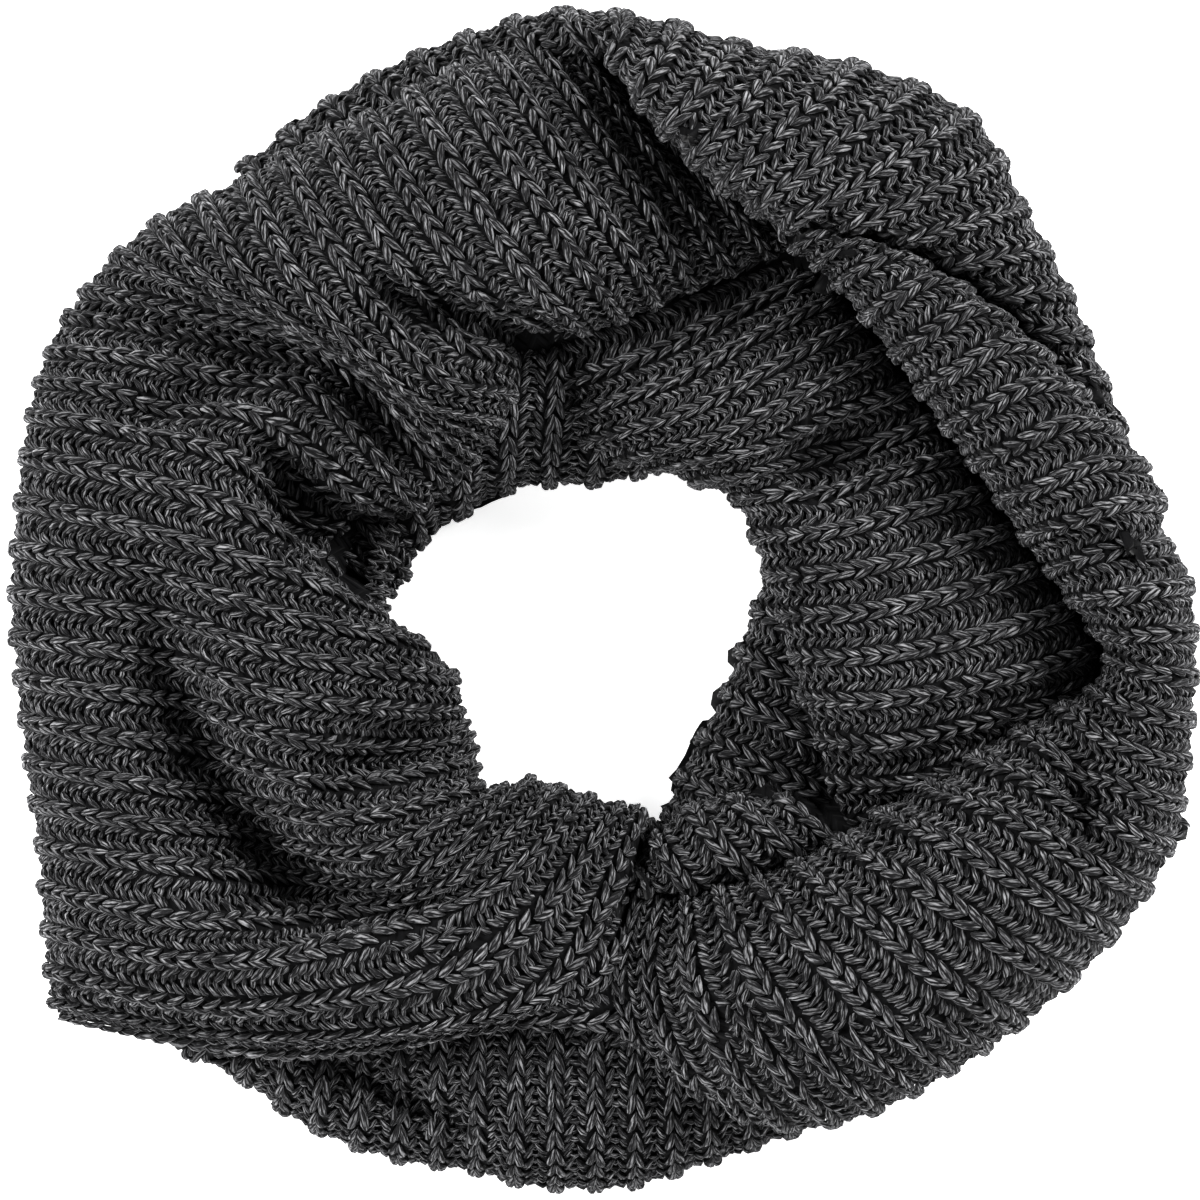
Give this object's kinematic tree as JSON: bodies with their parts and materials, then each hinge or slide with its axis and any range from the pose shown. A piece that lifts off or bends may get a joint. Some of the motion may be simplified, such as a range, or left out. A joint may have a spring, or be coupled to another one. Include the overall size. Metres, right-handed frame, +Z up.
{
  "type": "infinity scarf",
  "caption": "Chunky ribbed knit infinity scarf in charcoal marl, wound twice into a soft ring and laid flat, with deep folds, a rolled inner edge and an open middle",
  "frame": {"origin": "centre of the ring's outline, on the surface it lies on", "axes": "+X right and +Y away from the viewer as laid out, +Z up"},
  "size_m": [0.3986, 0.3984, 0.0864],
  "materials": {
    "charcoal_marl_knit": "chunky rib knit in marled wool blend yarn, matt with a soft nap"
  },
  "bodies": {
    "root": {"top_flap": "charcoal_marl_knit", "right_turn": "charcoal_marl_knit", "top_turn": "charcoal_marl_knit", "left_turn": "charcoal_marl_knit", "inner_roll": "charcoal_marl_knit", "inner_right": "charcoal_marl_knit", "hole_right": "charcoal_marl_knit", "hole_top": "charcoal_marl_knit", "lower_front": "charcoal_marl_knit", "hidden_layers": "charcoal_marl_knit"}
  },
  "joints": []
}
